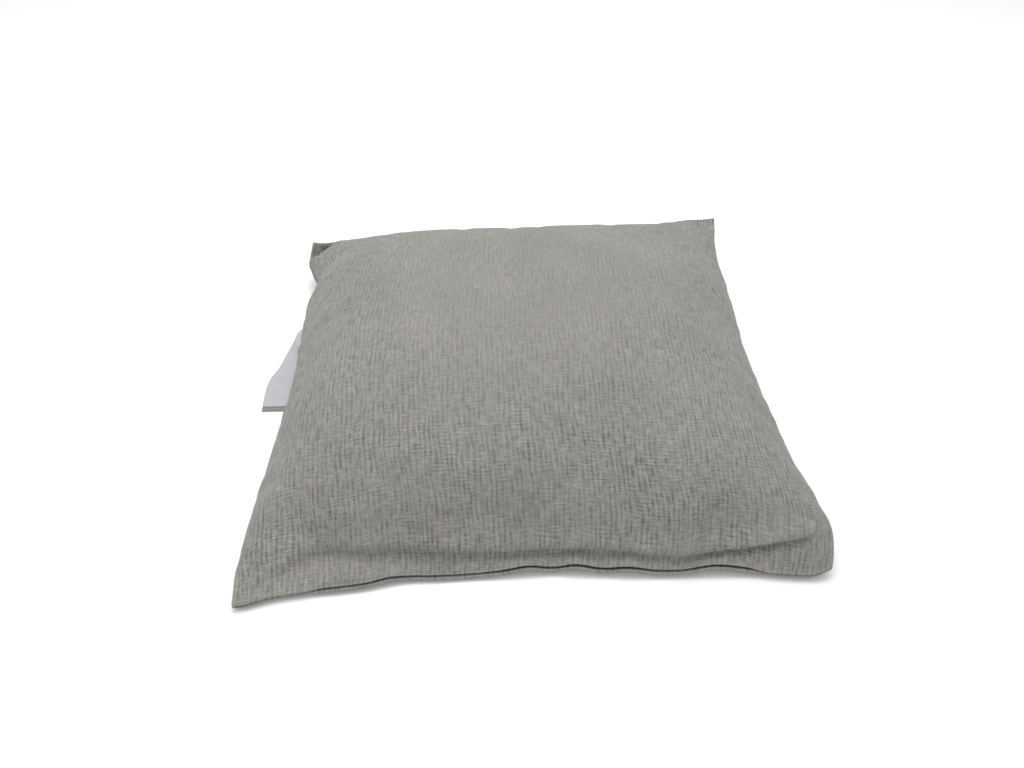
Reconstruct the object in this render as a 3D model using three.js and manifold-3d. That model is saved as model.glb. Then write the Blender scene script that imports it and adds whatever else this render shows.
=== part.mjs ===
// A square floor cushion: a woven cover with a concealed zip along its front edge, a care label sewn into
// its left seam, and a loose insert inside. Millimetres, +Z up, +X along the zip edge, +Y to the back.
// The origin is the middle of the flat underside, on the floor.

import * as THREE from 'three';
import Module from 'manifold-3d';
import { mergeVertices } from 'three/addons/utils/BufferGeometryUtils.js';

const wasm = await Module();
wasm.setup();

// ---- Driving dimensions -----------------------------------------------------------------------------

const SIDE = 600;               // corner to corner along each edge
const CROWN = 156;              // the top panel's highest point above the floor
const FRONT_PULL = 20;          // how far the middle of the front edge lies behind its corners
const SIDE_PULL = 10.5;         // the same for the other three edges

const SEAM_FRONT = 9;           // seam height above the floor along the zip
const SEAM_CORNERS = { frontLeft: 6, frontRight: 18, backLeft: 50, backRight: 66 };
const CORNER_LIFT_POWER = 12;   // how close to the front corners the seam starts to leave the zip's height
const SEAM_RISE_POWER = 1.5;    // above 1, the side seams climb slowly at the front and faster at the back

const COVER_CLOTH = 1.0;        // thickness of the woven cover
const CASING_CLOTH = 0.8;       // thickness of the insert's casing
const LAYER_GAP = 1.0;          // air between one layer and the next
const LIP_GAP = 3.6;            // between the edges of the two cover panels
const CASING_LIP_GAP = 4.4;     // between the edges of the two casing panels
const THREAD_INSET = 4;         // seam thread, behind the cover's edge
const THREAD_RADIUS = 0.5;

const GRID = 16;                // cells along each edge of a panel, finer towards the edges
const CASING_LINE = 2;          // the grid line that the casing's edge follows
const FILLING_LINE = 3;         // the grid line that the filling's side follows

const ZIP_LENGTH = 424;         // length of the coils
const ZIP_BEHIND_LIP = 9;       // chain behind the middle of the front edge
const COIL_DEPTH = 2.4;         // along Y
const COIL_HEIGHT = 2.2;        // along Z
const COIL_APART = 1.8;         // room between the two coils for the slider's wedge
const TAPE_THICKNESS = 0.5;
const TAPE_OVERHANG = 10;       // tape beyond each end of the coils
const TAPE_RISE = 1.0;          // from the coil to where the tape turns back
const TAPE_DEPTH = 8.5;         // how far the turned part runs back
const STITCH_SIZE = 0.5;
const STOP_LENGTH = 3;
const TOUCHING_GAP = 0.3;       // kept between pieces that touch

const SLIDER_LENGTH = 12;
const SLIDER_HALF_HEIGHT = 4;
const PLATE_THICKNESS = 1.5;
const PLATE_CLEARANCE = 0.9;    // between a plate and the coils
const WEDGE_THICKNESS = 1.0;
const BAIL_LENGTH = 8;
const BAIL_RISE = 3;
const BAIL_BAR = 1.2;           // width and end thickness of the bail
const BAIL_ROOF = 1.0;
const SLIDER_REST_X = 204;      // closed, just short of the top stops

const PULL_WIDTH = 2.8;
const PULL_THICKNESS = 1.0;
const PULL_ARM = 0.5;           // width of each side of the pull's eye
const PULL_EYE = 5.4;           // from the pivot bar to the tab
const PULL_LENGTH = 22;         // from the pivot to the tip

const LABEL_WIDTH = 33;
const LABEL_CLOTH = 0.4;
const LABEL_ROOT_Y = 105;       // far side of the label where it leaves the seam
const LABEL_ROOT_DEPTH = 1.5;   // how far it reaches in between the panels
const LABEL_TIP = { x: -325, y: -11 };
const LABEL_OUT = 26;           // how far it first runs straight out of the seam
const LABEL_SETTLE = 42;        // length of its last, level stretch
const LABEL_ROWS = 12;
const LABEL_COLUMNS = 3;
const BACK_LEAF_EXTRA = 7;      // the leaf underneath is longer

// ---- Materials --------------------------------------------------------------------------------------

const finish = (color, roughness, metalness = 0) => {
  return new THREE.MeshStandardMaterial({ color, roughness, metalness });
};
const WOVEN = finish(0x9a9793, 0.95);
const THREAD = finish(0x8b8883, 0.8);
const ZIP_TAPE = finish(0x8a8783, 0.9);
const ZIP_COIL = finish(0x86837f, 0.5);
const ZIP_METAL = finish(0x8c8a87, 0.35, 0.8);
const CASING = finish(0xe9e7e2, 0.95);
const FIBRE = finish(0xf3f2ef, 1);
const LABEL_WHITE = finish(0xe4e3e0, 0.6);
const LABEL_GREY = finish(0xa9a9a4, 0.7);

// ---- The cushion's form -----------------------------------------------------------------------------
// Panels are laid out on a square of s (left to right) and t (front to back), each from -1 to 1.

const gridLine = (k) => -Math.cos((Math.PI * k) / GRID);

function outline(s, t) {
  const frontOrBack = t < 0 ? FRONT_PULL : SIDE_PULL;
  const x = s * (SIDE / 2 - SIDE_PULL * (1 - t * t));
  const y = t * (SIDE / 2 - frontOrBack * (1 - s * s));
  return new THREE.Vector3(x, y, 0);
}

function seamHeight(s, t) {
  const corner = s < 0 ? SEAM_CORNERS.frontLeft : SEAM_CORNERS.frontRight;
  const front = SEAM_FRONT + (corner - SEAM_FRONT) * Math.abs(s) ** CORNER_LIFT_POWER;
  const back = THREE.MathUtils.lerp(SEAM_CORNERS.backLeft, SEAM_CORNERS.backRight, (s + 1) / 2);
  return THREE.MathUtils.lerp(front, back, ((t + 1) / 2) ** SEAM_RISE_POWER);
}

function coverTop(s, t) {
  const edge = seamHeight(s, t) + LIP_GAP / 2 + COVER_CLOTH;
  const dome = Math.sqrt(Math.max(0, (1 - s * s) * (1 - t * t)));
  return edge + (CROWN - edge) * dome;
}

// The underside is flat on the floor and curls up to the seam: in a wide roll at the sides and the back,
// and in a tight one at the front, which leaves a channel for the zip.
const FLAT_UP_TO = 0.8;
const WIDE_ROLL_POWER = 2;
const TIGHT_ROLL_POWER = 8;

function coverBottom(s, t) {
  const outward = (q) => Math.max(0, (q - FLAT_UP_TO) / (1 - FLAT_UP_TO));
  const wide = outward(Math.max(Math.abs(s), t)) ** WIDE_ROLL_POWER;
  const tight = outward(-t) ** TIGHT_ROLL_POWER;
  return (seamHeight(s, t) - LIP_GAP / 2 - COVER_CLOTH) * Math.max(wide, tight);
}

// Inner layers follow the cover a gap inside it, and close towards their own smaller edge.
const coverTopInside = (s, t) => coverTop(s, t) - COVER_CLOTH;
const coverBottomInside = (s, t) => coverBottom(s, t) + COVER_CLOTH;
const middle = (s, t) => (coverTopInside(s, t) + coverBottomInside(s, t)) / 2;

const CASING_FULLNESS_POWER = 6;

function casingFullness(s, t) {
  const edge = Math.abs(gridLine(CASING_LINE));
  const along = (q) => 1 - Math.abs(q / edge) ** CASING_FULLNESS_POWER;
  return along(s) * along(t);
}

function casingTop(s, t) {
  const edge = middle(s, t) + CASING_LIP_GAP / 2 + CASING_CLOTH;
  return THREE.MathUtils.lerp(edge, coverTopInside(s, t) - LAYER_GAP, casingFullness(s, t));
}

function casingBottom(s, t) {
  const edge = middle(s, t) - CASING_LIP_GAP / 2 - CASING_CLOTH;
  return THREE.MathUtils.lerp(edge, coverBottomInside(s, t) + LAYER_GAP, casingFullness(s, t));
}

const casingTopInside = (s, t) => casingTop(s, t) - CASING_CLOTH;
const casingBottomInside = (s, t) => casingBottom(s, t) + CASING_CLOTH;
const fillingTop = (s, t) => casingTopInside(s, t) - LAYER_GAP;
const fillingBottom = (s, t) => casingBottomInside(s, t) + LAYER_GAP;

// ---- Builders ---------------------------------------------------------------------------------------

// A closed sheet: columns by rows cells between an upper and a lower face, given as functions of the
// column and row number, with a wall round its edge. Stacked sheets on one grid share their diagonals,
// so they never cross.
function closedSheet(columns, rows, upper, lower) {
  const corners = [];
  for (const face of [upper, lower]) {
    for (let row = 0; row <= rows; row += 1) {
      for (let column = 0; column <= columns; column += 1) {
        corners.push(face(column, row));
      }
    }
  }
  const faceSize = (columns + 1) * (rows + 1);
  const top = (column, row) => row * (columns + 1) + column;
  const triangles = [];
  for (let row = 0; row < rows; row += 1) {
    for (let column = 0; column < columns; column += 1) {
      const a = top(column, row);
      const b = top(column + 1, row);
      const c = top(column + 1, row + 1);
      const d = top(column, row + 1);
      triangles.push(a, b, c, a, c, d);
      triangles.push(a + faceSize, c + faceSize, b + faceSize, a + faceSize, d + faceSize, c + faceSize);
    }
  }
  const edge = [];
  for (let column = 0; column < columns; column += 1) edge.push(top(column, 0));
  for (let row = 0; row < rows; row += 1) edge.push(top(columns, row));
  for (let column = columns; column > 0; column -= 1) edge.push(top(column, rows));
  for (let row = rows; row > 0; row -= 1) edge.push(top(0, row));
  edge.forEach((from, index) => {
    const to = edge[(index + 1) % edge.length];
    triangles.push(from + faceSize, to + faceSize, to, from + faceSize, to, from);
  });
  const geometry = new THREE.BufferGeometry().setFromPoints(corners);
  geometry.setIndex(triangles);
  geometry.computeVertexNormals();
  return geometry;
}

// A layer of the cushion between two height functions, out to the given grid line on every side.
function cushionLayer(topHeight, bottomHeight, edgeLine = 0) {
  const cells = GRID - 2 * edgeLine;
  const face = (height) => (column, row) => {
    const s = gridLine(column + edgeLine);
    const t = gridLine(row + edgeLine);
    return outline(s, t).setZ(height(s, t));
  };
  return closedSheet(cells, cells, face(topHeight), face(bottomHeight));
}

// A curve that passes straight from point to point, one step to each stretch.
class StraightRun extends THREE.Curve {
  constructor(points) {
    super();
    this.points = points;
  }

  getPoint(u, target = new THREE.Vector3()) {
    const last = this.points.length - 1;
    const at = THREE.MathUtils.clamp(u, 0, 1) * last;
    const index = Math.min(Math.floor(at), last - 1);
    return target.lerpVectors(this.points[index], this.points[index + 1], at - index);
  }

  getPointAt(u, target) {
    return this.getPoint(u, target);
  }

  getTangentAt(u, target) {
    return this.getTangent(u, target);
  }
}

const THREAD_SIDES = 6;

function threadAlong(points) {
  const section = new THREE.Shape();
  for (let side = 0; side < THREAD_SIDES; side += 1) {
    const angle = (2 * Math.PI * side) / THREAD_SIDES;
    const x = THREAD_RADIUS * Math.cos(angle);
    const y = THREAD_RADIUS * Math.sin(angle);
    if (side === 0) section.moveTo(x, y);
    else section.lineTo(x, y);
  }
  section.closePath();
  const steps = points.length - 1;
  return new THREE.ExtrudeGeometry(section, { steps, extrudePath: new StraightRun(points) });
}

// A prism of constant section along X, centred on x = 0. The section's points are [y, z].
function prismAlongX(section, length) {
  const shape = new THREE.Shape(section.map(([y, z]) => new THREE.Vector2(y, z)));
  const geometry = new THREE.ExtrudeGeometry(shape, { depth: length, bevelEnabled: false });
  geometry.translate(0, 0, -length / 2);
  const axes = new THREE.Matrix4().makeBasis(
    new THREE.Vector3(0, 1, 0),
    new THREE.Vector3(0, 0, 1),
    new THREE.Vector3(1, 0, 0),
  );
  return geometry.applyMatrix4(axes);
}

function rectangle(yFrom, yTo, zFrom, zTo) {
  return [[yFrom, zFrom], [yTo, zFrom], [yTo, zTo], [yFrom, zTo]];
}

function toSolid(geometry) {
  const bare = geometry.clone();
  bare.deleteAttribute('normal');
  bare.deleteAttribute('uv');
  const merged = mergeVertices(bare);
  return new wasm.Manifold(new wasm.Mesh({
    numProp: 3,
    vertProperties: new Float32Array(merged.attributes.position.array),
    triVerts: new Uint32Array(merged.index.array),
  }));
}

function toGeometry(solid) {
  const mesh = solid.getMesh();
  const geometry = new THREE.BufferGeometry();
  geometry.setAttribute('position', new THREE.BufferAttribute(mesh.vertProperties, 3));
  geometry.setIndex(new THREE.BufferAttribute(mesh.triVerts, 1));
  geometry.computeVertexNormals();
  return geometry;
}

function box(sizeX, sizeY, sizeZ, x, y, z) {
  return new THREE.BoxGeometry(sizeX, sizeY, sizeZ).translate(x, y, z);
}

const cushion = new THREE.Group();

function place(name, geometry, material, parent = cushion) {
  const mesh = new THREE.Mesh(geometry, material);
  mesh.name = name;
  parent.add(mesh);
}

// ---- Cover ------------------------------------------------------------------------------------------

place('cover_top_panel', cushionLayer(coverTop, coverTopInside), WOVEN);
place('cover_bottom_panel', cushionLayer(coverBottomInside, coverBottom), WOVEN);

// The seam thread lies between the panels, just behind their edges, and stops short of the corners.
function seamPoint(s, t) {
  const point = outline(s, t).setZ(seamHeight(s, t));
  if (Math.abs(s) === 1) point.x -= Math.sign(s) * THREAD_INSET;
  if (Math.abs(t) === 1) point.y -= Math.sign(t) * THREAD_INSET;
  return point;
}

const seamLines = Array.from({ length: GRID - 1 }, (_, index) => gridLine(index + 1));
const LINES_BESIDE_ZIP = 3;

place('seam_thread_left', threadAlong(seamLines.map((t) => seamPoint(-1, t))), THREAD);
place('seam_thread_right', threadAlong(seamLines.map((t) => seamPoint(1, t))), THREAD);
place('seam_thread_back', threadAlong(seamLines.map((s) => seamPoint(s, 1))), THREAD);
const besideZip = { left: seamLines.slice(0, LINES_BESIDE_ZIP), right: seamLines.slice(-LINES_BESIDE_ZIP) };
for (const [end, lines] of Object.entries(besideZip)) {
  place(`seam_thread_front_${end}`, threadAlong(lines.map((s) => seamPoint(s, -1))), THREAD);
}

// ---- Zip --------------------------------------------------------------------------------------------
// Its group's origin is the middle of the chain. The coils run along X, one above the other.

const zip = new THREE.Group();
zip.position.set(0, -(SIDE / 2 - FRONT_PULL) + ZIP_BEHIND_LIP, SEAM_FRONT);
cushion.add(zip);

const coilBase = COIL_APART / 2;
const coilTop = coilBase + COIL_HEIGHT;
const tapeFrom = coilTop + TOUCHING_GAP;
const tapeTurn = tapeFrom + TAPE_RISE;
const tapeFace = TAPE_THICKNESS / 2;
const stitchY = TAPE_DEPTH - 2;

const tapeSection = [
  [-tapeFace, tapeFrom],
  [tapeFace, tapeFrom],
  [tapeFace, tapeTurn],
  [TAPE_DEPTH, tapeTurn],
  [TAPE_DEPTH, tapeTurn + TAPE_THICKNESS],
  [-tapeFace, tapeTurn + TAPE_THICKNESS],
];
const coilSection = rectangle(-COIL_DEPTH / 2, COIL_DEPTH / 2, coilBase, coilTop);
const stitchTop = tapeTurn - TOUCHING_GAP;
const stitchSection = rectangle(stitchY, stitchY + STITCH_SIZE, stitchTop - STITCH_SIZE, stitchTop);

// The lower half is the upper half turned upside down about X and put back to face the same way.
const mirrored = (section) => section.map(([y, z]) => [y, -z]).reverse();
const halves = { upper: (section) => section, lower: mirrored };
for (const [half, turned] of Object.entries(halves)) {
  const tapeLength = ZIP_LENGTH + 2 * TAPE_OVERHANG;
  place(`zip_tape_${half}`, prismAlongX(turned(tapeSection), tapeLength), ZIP_TAPE, zip);
  place(`zip_stitch_${half}`, prismAlongX(turned(stitchSection), tapeLength), THREAD, zip);
  place(`zip_coil_${half}`, prismAlongX(turned(coilSection), ZIP_LENGTH), ZIP_COIL, zip);
  const topStop = prismAlongX(turned(coilSection), STOP_LENGTH);
  topStop.translate((ZIP_LENGTH + STOP_LENGTH) / 2 + TOUCHING_GAP, 0, 0);
  place(`zip_top_stop_${half}`, topStop, ZIP_METAL, zip);
}
const bottomStop = box(STOP_LENGTH, COIL_DEPTH, 2 * coilTop, 0, 0, 0);
bottomStop.translate(-(ZIP_LENGTH + STOP_LENGTH) / 2 - TOUCHING_GAP, 0, 0);
place('zip_bottom_stop', bottomStop, ZIP_METAL, zip);

// The slider is two plates, in front of the coils and behind them, joined by the wedge between the coils.
// The bail on the front plate holds the pull.
const plateInner = COIL_DEPTH / 2 + PLATE_CLEARANCE;
const plateOuter = plateInner + PLATE_THICKNESS;

function sliderGeometry() {
  const high = SLIDER_HALF_HEIGHT;
  const web = WEDGE_THICKNESS / 2;
  const section = [
    [-plateOuter, -high], [-plateInner, -high], [-plateInner, -web],
    [plateInner, -web], [plateInner, -high], [plateOuter, -high],
    [plateOuter, high], [plateInner, high], [plateInner, web],
    [-plateInner, web], [-plateInner, high], [-plateOuter, high],
  ];
  const plates = toSolid(prismAlongX(section, SLIDER_LENGTH));
  const sunk = 0.2;
  const postRise = BAIL_RISE + sunk;
  const postY = -plateOuter - BAIL_RISE + postRise / 2;
  const postX = (BAIL_LENGTH - BAIL_BAR) / 2;
  const roofY = -plateOuter - BAIL_RISE + BAIL_ROOF / 2;
  return toGeometry(
    plates
      .add(toSolid(box(BAIL_BAR, postRise, BAIL_BAR, -postX, postY, 0)))
      .add(toSolid(box(BAIL_BAR, postRise, BAIL_BAR, postX, postY, 0)))
      .add(toSolid(box(BAIL_LENGTH, BAIL_ROOF, BAIL_BAR, 0, roofY, 0))),
  );
}

const slider = new THREE.Group();
slider.position.x = SLIDER_REST_X;
zip.add(slider);
place('zip_slider', sliderGeometry(), ZIP_METAL, slider);

// The pull hangs on the bail by a bar across the chain and lies back along the closed coils.
function pullGeometry() {
  const shape = new THREE.Shape();
  const half = PULL_WIDTH / 2;
  const bar = PULL_THICKNESS / 2;
  const shoulder = PULL_LENGTH - half;
  shape.moveTo(bar, -half);
  shape.lineTo(bar, half);
  shape.lineTo(-shoulder, half);
  shape.absarc(-shoulder, 0, half, Math.PI / 2, (3 * Math.PI) / 2, false);
  shape.closePath();
  const eye = new THREE.Path([
    new THREE.Vector2(-bar, -half + PULL_ARM),
    new THREE.Vector2(-PULL_EYE, -half + PULL_ARM),
    new THREE.Vector2(-PULL_EYE, half - PULL_ARM),
    new THREE.Vector2(-bar, half - PULL_ARM),
  ]);
  shape.holes.push(eye);
  const options = { depth: PULL_THICKNESS, bevelEnabled: false, curveSegments: 8 };
  const geometry = new THREE.ExtrudeGeometry(shape, options);
  geometry.translate(0, 0, -PULL_THICKNESS / 2);
  return geometry.rotateX(Math.PI / 2);
}

const pull = new THREE.Group();
pull.position.y = -plateOuter - (BAIL_RISE - BAIL_ROOF) / 2;
slider.add(pull);
place('zip_pull', pullGeometry(), ZIP_METAL, pull);

// ---- Care label -------------------------------------------------------------------------------------
// Two leaves sewn into the left seam. They leave it straight out, turn towards the front and come down to
// the floor. Row 0 is in the seam and the last row is the free end; column 0 is the outer side. The back
// leaf follows the front leaf's path, and then runs straight on.

function labelPath(column) {
  const across = (column / LABEL_COLUMNS) * LABEL_WIDTH;
  const rootY = LABEL_ROOT_Y - across;
  const rootT = rootY / (SIDE / 2);
  const rootX = outline(-1, rootT).x + LABEL_ROOT_DEPTH;
  const rootZ = seamHeight(-1, rootT);
  const tipX = LABEL_TIP.x + across;
  const tipZ = 2 * LABEL_CLOTH;
  return new THREE.CubicBezierCurve3(
    new THREE.Vector3(rootX, rootY, rootZ),
    new THREE.Vector3(rootX - LABEL_OUT, rootY, rootZ),
    new THREE.Vector3(tipX, LABEL_TIP.y + LABEL_SETTLE, tipZ),
    new THREE.Vector3(tipX, LABEL_TIP.y, tipZ),
  );
}

function labelLeaf(level, extraLength) {
  const rows = extraLength > 0 ? LABEL_ROWS + 1 : LABEL_ROWS;
  const face = (height) => (column, row) => {
    const point = labelPath(column).getPoint(Math.min(row / LABEL_ROWS, 1));
    if (row > LABEL_ROWS) point.y -= extraLength;
    point.z += height;
    return point;
  };
  const half = LABEL_CLOTH / 2;
  return closedSheet(LABEL_COLUMNS, rows, face(level - half), face(level + half));
}

place('care_label_front_leaf', labelLeaf(LABEL_CLOTH, 0), LABEL_WHITE);
place('care_label_back_leaf', labelLeaf(-LABEL_CLOTH, BACK_LEAF_EXTRA), LABEL_GREY);

// ---- Insert -----------------------------------------------------------------------------------------

place('insert_casing_top', cushionLayer(casingTop, casingTopInside, CASING_LINE), CASING);
place('insert_casing_bottom', cushionLayer(casingBottomInside, casingBottom, CASING_LINE), CASING);
place('insert_filling', cushionLayer(fillingTop, fillingBottom, FILLING_LINE), FIBRE);

// The casing's seam thread runs round just inside the casing's edge, from near one corner back to it.
const CASING_THREAD_SCALE = 0.99;

function casingThreadPoints() {
  const from = CASING_LINE;
  const to = GRID - CASING_LINE;
  const stops = [];
  for (let k = from; k < to; k += 1) stops.push([k, from]);
  for (let k = from; k < to; k += 1) stops.push([to, k]);
  for (let k = to; k > from; k -= 1) stops.push([k, to]);
  for (let k = to; k > from; k -= 1) stops.push([from, k]);
  return stops.map(([column, row]) => {
    const s = gridLine(column);
    const t = gridLine(row);
    const point = outline(s, t).multiplyScalar(CASING_THREAD_SCALE);
    return point.setZ(middle(s, t));
  });
}

place('insert_seam_thread', threadAlong(casingThreadPoints()), THREAD);

export default cushion;
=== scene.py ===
"""Floor cushion: a woven cover with a concealed zip along its front edge, a care label in its left seam and
a fibre-filled insert. Lengths are in millimetres until a mesh is made, and then in metres."""

from math import cos, pi, radians, sin

import bpy
import numpy as np
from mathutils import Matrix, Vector


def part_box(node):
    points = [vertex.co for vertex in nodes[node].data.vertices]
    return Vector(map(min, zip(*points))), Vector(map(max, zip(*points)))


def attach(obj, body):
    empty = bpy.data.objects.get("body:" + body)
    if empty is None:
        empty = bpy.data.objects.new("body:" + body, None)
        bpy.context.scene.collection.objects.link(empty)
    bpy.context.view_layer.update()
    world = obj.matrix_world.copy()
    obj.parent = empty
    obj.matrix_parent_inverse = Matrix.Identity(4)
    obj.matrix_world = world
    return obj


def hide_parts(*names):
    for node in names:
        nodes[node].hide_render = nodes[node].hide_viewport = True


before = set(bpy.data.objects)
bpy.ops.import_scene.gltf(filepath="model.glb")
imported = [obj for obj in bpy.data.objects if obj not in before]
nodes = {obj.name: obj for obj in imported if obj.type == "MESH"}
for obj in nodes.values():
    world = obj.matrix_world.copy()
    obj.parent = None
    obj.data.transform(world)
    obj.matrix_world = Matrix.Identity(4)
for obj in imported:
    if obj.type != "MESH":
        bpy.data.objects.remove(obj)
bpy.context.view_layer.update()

MM = 0.001

# ---- Camera, light and floor ------------------------------------------------------------------------

# Places and sizes in this section are in metres.
CAMERA_PLACE = (-0.046, -0.809, 0.738)
CAMERA_DOWN = 41.6      # degrees below the horizon
CAMERA_YAW = 2.4        # degrees towards +X
CAMERA_LENS = 30.23     # mm
CAMERA_SENSOR = 36.0    # mm wide

LIGHT_TARGET = (0.0, 0.0, 0.05)
LIGHTS = {              # place, diameter and power in watts
    "key": ((0.05, 0.5, 2.3), 1.8, 36.0),
    "fill": ((-1.5, -0.1, 1.9), 1.6, 6.0),
}
WORLD_STRENGTH = 0.8


def make_camera():
    data = bpy.data.cameras.new("camera")
    data.sensor_width = CAMERA_SENSOR
    data.lens = CAMERA_LENS
    data.dof.use_dof = False
    camera = bpy.data.objects.new("camera", data)
    camera.location = CAMERA_PLACE
    camera.rotation_euler = (radians(90.0 - CAMERA_DOWN), 0.0, radians(-CAMERA_YAW))
    bpy.context.scene.collection.objects.link(camera)
    bpy.context.scene.camera = camera


def area_light(name, place, size, power):
    data = bpy.data.lights.new(name, "AREA")
    data.shape = "DISK"
    data.size = size
    data.energy = power
    light = bpy.data.objects.new(name, data)
    light.location = place
    towards = Vector(LIGHT_TARGET) - Vector(place)
    light.rotation_euler = towards.to_track_quat("-Z", "Y").to_euler()
    bpy.context.scene.collection.objects.link(light)


def make_light():
    world = bpy.data.worlds.new("studio")
    world.use_nodes = True
    background = world.node_tree.nodes["Background"]
    background.inputs["Color"].default_value = (1.0, 1.0, 1.0, 1.0)
    background.inputs["Strength"].default_value = WORLD_STRENGTH
    bpy.context.scene.world = world
    for name, settings in LIGHTS.items():
        area_light(name, *settings)
    bpy.context.scene.view_settings.view_transform = "Standard"
    bpy.context.scene.view_settings.look = "None"


# ---- Curves and grids -------------------------------------------------------------------------------

HALF_SIDE = 300.0       # half of the cover's finished side
CELLS = 96              # grid cells along each side of the cover
EDGE_CROWDING = 0.65    # how much closer the grid lines are near the seams


def through(points, key, queries):
    """A smooth curve through the points, which are in order of their column key, at each query."""
    points = np.asarray(points, float)
    knots = points[:, key]
    slopes = np.gradient(points, knots, axis=0)
    at = np.clip(np.searchsorted(knots, queries, side="right") - 1, 0, len(knots) - 2)
    span = (knots[at + 1] - knots[at])[:, None]
    f = (np.asarray(queries)[:, None] - knots[at][:, None]) / span
    return (
        (2 * f**3 - 3 * f**2 + 1) * points[at]
        + (f**3 - 2 * f**2 + f) * span * slopes[at]
        + (3 * f**2 - 2 * f**3) * points[at + 1]
        + (f**3 - f**2) * span * slopes[at + 1]
    )


def smooth(low, high, value):
    """0 at low and 1 at high, with a soft start and end."""
    f = np.clip((value - low) / (high - low), 0.0, 1.0)
    return f * f * (3.0 - 2.0 * f)


def run_along(points):
    """How far each point is along its line, for a line of points or a row of lines."""
    steps = np.linalg.norm(np.diff(points, axis=0), axis=-1)
    return np.concatenate([np.zeros_like(steps[:1]), np.cumsum(steps, axis=0)])


# ---- The cover's shape before it is blown up --------------------------------------------------------

# The seam between the two panels: the middle of its groove, at the outermost line of the cloth.
FRONT_SEAM = [
    (-303, -308, 7.0),
    (-289, -306, 7.0),
    (-275, -301.5, 7.3),
    (-238, -295, 7.3),
    (-198, -292, 7.6),
    (-166, -288, 8.3),
    (-150, -284, 9.4),
    (-135, -282, 7.9),
    (-100, -282, 6.8),
    (-67, -281, 6.5),
    (-36, -280, 8.5),
    (-5, -278, 12.7),
    (20, -278, 8.6),
    (41, -279, 13.8),
    (67, -282, 9.8),
    (97, -284, 12.8),
    (123, -286, 8.8),
    (148, -287, 8.8),
    (187, -286, 14.1),
    (205, -287, 12.3),
    (231, -290, 8.8),
    (262, -294, 8.3),
    (286, -295.5, 9.2),
    (303, -292, 14.5),
]
BACK_SEAM = [
    (-293, 285, 53),
    (-280, 287, 50),
    (-247, 287, 53),
    (-180, 286, 54),
    (-90, 284, 50.5),
    (0, 282, 51),
    (120, 284, 61),
    (240, 290, 69),
    (302, 298, 71),
]
LEFT_SEAM = [
    (-303, -308, 7.0),
    (-307, -262, 6.5),
    (-306, -229, 7.5),
    (-299, -143, 12),
    (-289.5, -47, 20),
    (-286, 14, 24),
    (-286, 70, 28),
    (-286.5, 108, 30),
    (-287, 150, 32),
    (-281, 185, 34),
    (-277, 206, 35),
    (-287, 232, 35),
    (-298, 258, 34),
    (-296, 273, 42),
    (-293, 285, 53),
]
RIGHT_SEAM = [
    (303, -292, 14.5),
    (307, -277, 23),
    (309.5, -258, 31),
    (305, -225, 35),
    (295, -152, 34),
    (292, -87, 34),
    (288.5, -16, 35),
    (289, 47, 36),
    (294, 131, 38),
    (295.5, 185, 40),
    (293.5, 208, 45),
    (297, 265, 59),
    (302, 298, 71),
]

# Along the front the cover's margin runs in to a valley line, and the filled face rises from there:
# (x of the line, depth of the margin, height of the valley, root of the face's profile). The smaller the
# root, the steeper the face starts.
FRONT_VALLEY = [
    (-300, 10, 9, 0.95),
    (-262, 22, 12.5, 0.86),
    (-225, 36, 15.5, 0.70),
    (-185, 30, 16, 0.58),
    (-138, 23, 16.4, 0.52),
    (-67, 17, 16.4, 0.50),
    (0, 13, 16.8, 0.50),
    (67, 14, 16.8, 0.50),
    (169, 10, 18, 0.50),
    (214, 13, 24, 0.50),
    (239, 16, 32, 0.52),
    (262, 18, 38, 0.56),
    (285, 23, 41, 0.68),
    (303, 30, 44, 0.85),
]
CROWN = 147.0           # before the cloth is blown up against its seams
MARGIN_SWELL = 0.55     # below 1, the margin rises quickly behind the lip and then levels out
CORNER_FOLD = (190, 235)    # x over which the margin turns into the front right corner's fold
LIP_REACH = 150.0       # how far behind the front the surface still stands on the lip's height
SIDE_POWER = 6          # how soon, towards the sides, it stands on the height of its own seam

# The filled profiles from the seams to the crown, as the power and the root of rise().
LEFT_PROFILE = (2.5, 0.51)
RIGHT_PROFILE = (2.3, 0.51)
BACK_PROFILE = (3.0, 0.62)
FACE_POWER = 2.15
LEAST_ACROSS = 0.3      # keeps the margin's height from growing without limit at the sides

# Dents and lumps of the top: (x, y, height, half length, half width, direction in degrees).
# The last one lifts the cloth over the zip's open end.
TOP_FEATURES = [
    (-280, 277, -15, 19, 7.5, 36),
    (-268, -232, -4, 26, 9, 10),
    (-225, -243, -5, 20, 7, -12),
    (-60, 40, -2.5, 70, 45, 20),
    (120, 90, 2.0, 60, 50, -30),
    (-170, -90, 2.0, 60, 40, 40),
    (150, -120, -2.0, 60, 35, 60),
    (40, -150, 1.8, 70, 35, 5),
    (-120, 170, 1.6, 50, 40, 0),
    (200, 190, -2.0, 40, 30, 45),
    (-197, -277, 5.4, 22, 14, 0),
]
FEATURE_FADE = 4.0      # they fade to nothing over this distance from the seams


def grid_lines(cells=CELLS):
    """The grid's lines from -1 to 1, closer together near the seams."""
    even = np.linspace(-1.0, 1.0, cells + 1)
    crowded = np.sin(even * pi / 2.0)
    return (1.0 - EDGE_CROWDING) * even + EDGE_CROWDING * crowded


def seam_line(points, key, fractions):
    """Points of a seam at fractions of its length along the axis key."""
    low, high = points[0][key], points[-1][key]
    return through(points, key, low + (high - low) * fractions)


def rise(q, power, root):
    """Height of a filled profile, 0 at the seam (q = 0) and 1 at the crown (q = 1)."""
    return (1.0 - (1.0 - np.clip(q, 0.0, 1.0)) ** power) ** root


WOBBLE = 0.45           # height of the seams' small waves
WOBBLE_COUNTS = (6, 11, 17, 23)     # how many waves there are along a seam


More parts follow.
